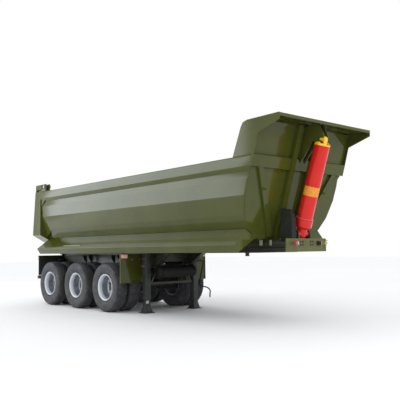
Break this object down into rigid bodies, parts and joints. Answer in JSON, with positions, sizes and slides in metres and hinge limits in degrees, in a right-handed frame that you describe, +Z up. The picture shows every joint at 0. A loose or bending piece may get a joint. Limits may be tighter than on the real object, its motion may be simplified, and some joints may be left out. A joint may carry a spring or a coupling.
{
  "type": "dump semi-trailer",
  "caption": "Tipping semi-trailer with a half-pipe steel tub, canopy, ribbed tailgate, front telescopic cylinder, twin-tyred axles on leaf springs, and landing legs.",
  "frame": {"origin": "on the ground, below the middle of the overall length and width", "axes": "+X forward to the kingpin end, +Y to the trailer's left, +Z up"},
  "size_m": [8.813, 2.5, 3.5],
  "materials": {
    "olive_paint": "glossy olive-green enamel",
    "chassis_paint": "satin dark olive enamel",
    "tyre_rubber": "matt black rubber",
    "wheel_silver": "silver wheel paint",
    "cast_steel": "dark primed steel",
    "cylinder_red": "glossy red enamel",
    "cap_yellow": "yellow enamel",
    "polished_steel": "ground and chromed",
    "lamp_red": "red lens",
    "coupling_red": "red enamel",
    "black_plastic": "black moulded plastic"
  },
  "bodies": {
    "chassis": {"chassis_frame": "chassis_paint", "coupler_plate": "cast_steel", "front_plate": "olive_paint", "air_coupling_red": "coupling_red", "air_coupling_yellow": "cap_yellow", "electric_socket": "black_plastic", "cylinder_cradle": "chassis_paint", "suspension_left": "cast_steel", "suspension_right": "cast_steel", "axle_1": "cast_steel", "axle_2": "cast_steel", "axle_3": "cast_steel", "landing_leg_left": "chassis_paint", "landing_leg_right": "chassis_paint", "landing_gear_brace": "chassis_paint", "air_tank": "chassis_paint", "hose_guard": "black_plastic", "guard_panel_left": "olive_paint", "guard_panel_right": "olive_paint", "rear_bumper": "chassis_paint", "tail_lamp_left": "lamp_red", "tail_lamp_right": "lamp_red"},
    "dump_body": {"tub_floor": "olive_paint", "tub_side_left": "olive_paint", "tub_side_right": "olive_paint", "top_rail_left": "olive_paint", "top_rail_right": "olive_paint", "front_wall": "olive_paint", "front_frame": "olive_paint", "canopy": "olive_paint", "rear_frame": "olive_paint", "skirt_left": "olive_paint", "skirt_right": "olive_paint", "body_subframe": "chassis_paint"},
    "tailgate": {"tailgate": "olive_paint"},
    "cylinder_base": {"cylinder_base": "cylinder_red"},
    "cylinder_stage_1": {"cylinder_stage_1": "polished_steel"},
    "cylinder_stage_2": {"cylinder_stage_2": "polished_steel"},
    "cylinder_stage_3": {"cylinder_stage_3": "polished_steel"},
    "cylinder_stage_4": {"cylinder_stage_4": "polished_steel"},
    "cylinder_cover": {"cylinder_cover": "cylinder_red", "cylinder_cap": "cap_yellow"},
    "wheel_set_left_1": {"wheel_left_1": "wheel_silver", "tyre_outer_left_1": "tyre_rubber", "tyre_inner_left_1": "tyre_rubber"},
    "wheel_set_left_2": {"wheel_left_2": "wheel_silver", "tyre_outer_left_2": "tyre_rubber", "tyre_inner_left_2": "tyre_rubber"},
    "wheel_set_left_3": {"wheel_left_3": "wheel_silver", "tyre_outer_left_3": "tyre_rubber", "tyre_inner_left_3": "tyre_rubber"},
    "wheel_set_right_1": {"wheel_right_1": "wheel_silver", "tyre_outer_right_1": "tyre_rubber", "tyre_inner_right_1": "tyre_rubber"},
    "wheel_set_right_2": {"wheel_right_2": "wheel_silver", "tyre_outer_right_2": "tyre_rubber", "tyre_inner_right_2": "tyre_rubber"},
    "wheel_set_right_3": {"wheel_right_3": "wheel_silver", "tyre_outer_right_3": "tyre_rubber", "tyre_inner_right_3": "tyre_rubber"}
  },
  "joints": [
    {"name": "body_tip", "type": "hinge", "parent": "chassis", "child": "dump_body", "pos_m": [-4.0615, 0, 1.33], "axis": [0, -1, 0], "range_deg": [0, 45]},
    {"name": "tailgate_swing", "type": "hinge", "parent": "dump_body", "child": "tailgate", "pos_m": [-3.7715, 0, 3.03], "axis": [0, 1, 0], "range_deg": [0, 75]},
    {"name": "cylinder_swing", "type": "hinge", "parent": "chassis", "child": "cylinder_base", "pos_m": [3.7485, 0, 1.6], "axis": [0, -1, 0], "range_deg": [0, 43.76]},
    {"name": "cylinder_slide_1", "type": "slide", "parent": "cylinder_base", "child": "cylinder_stage_1", "axis": [0.3242, 0, 0.946], "range_m": [0, 1.1962]},
    {"name": "cylinder_slide_2", "type": "slide", "parent": "cylinder_stage_1", "child": "cylinder_stage_2", "axis": [0.3242, 0, 0.946], "range_m": [0, 1.1962]},
    {"name": "cylinder_slide_3", "type": "slide", "parent": "cylinder_stage_2", "child": "cylinder_stage_3", "axis": [0.3242, 0, 0.946], "range_m": [0, 1.1962]},
    {"name": "cylinder_slide_4", "type": "slide", "parent": "cylinder_stage_3", "child": "cylinder_stage_4", "axis": [0.3242, 0, 0.946], "range_m": [0, 1.1962]},
    {"name": "cylinder_slide_5", "type": "slide", "parent": "cylinder_stage_4", "child": "cylinder_cover", "axis": [0.3242, 0, 0.946], "range_m": [0, 1.1962]},
    {"name": "wheel_spin_left_1", "type": "hinge", "parent": "chassis", "child": "wheel_set_left_1", "pos_m": [-3.4415, 0.92, 0.542], "axis": [0, 1, 0], "continuous": true},
    {"name": "wheel_spin_left_2", "type": "hinge", "parent": "chassis", "child": "wheel_set_left_2", "pos_m": [-2.1315, 0.92, 0.542], "axis": [0, 1, 0], "continuous": true},
    {"name": "wheel_spin_left_3", "type": "hinge", "parent": "chassis", "child": "wheel_set_left_3", "pos_m": [-0.8215, 0.92, 0.542], "axis": [0, 1, 0], "continuous": true},
    {"name": "wheel_spin_right_1", "type": "hinge", "parent": "chassis", "child": "wheel_set_right_1", "pos_m": [-3.4415, -0.92, 0.542], "axis": [0, 1, 0], "continuous": true},
    {"name": "wheel_spin_right_2", "type": "hinge", "parent": "chassis", "child": "wheel_set_right_2", "pos_m": [-2.1315, -0.92, 0.542], "axis": [0, 1, 0], "continuous": true},
    {"name": "wheel_spin_right_3", "type": "hinge", "parent": "chassis", "child": "wheel_set_right_3", "pos_m": [-0.8215, -0.92, 0.542], "axis": [0, 1, 0], "continuous": true}
  ],
  "couplings": [
    {"joint": "cylinder_swing", "follows": "body_tip", "ratio": 0.97222},
    {"joint": "cylinder_slide_1", "follows": "body_tip", "m_per_rad": 1.5229},
    {"joint": "cylinder_slide_2", "follows": "body_tip", "m_per_rad": 1.5229},
    {"joint": "cylinder_slide_3", "follows": "body_tip", "m_per_rad": 1.5229},
    {"joint": "cylinder_slide_4", "follows": "body_tip", "m_per_rad": 1.5229},
    {"joint": "cylinder_slide_5", "follows": "body_tip", "m_per_rad": 1.5229}
  ]
}
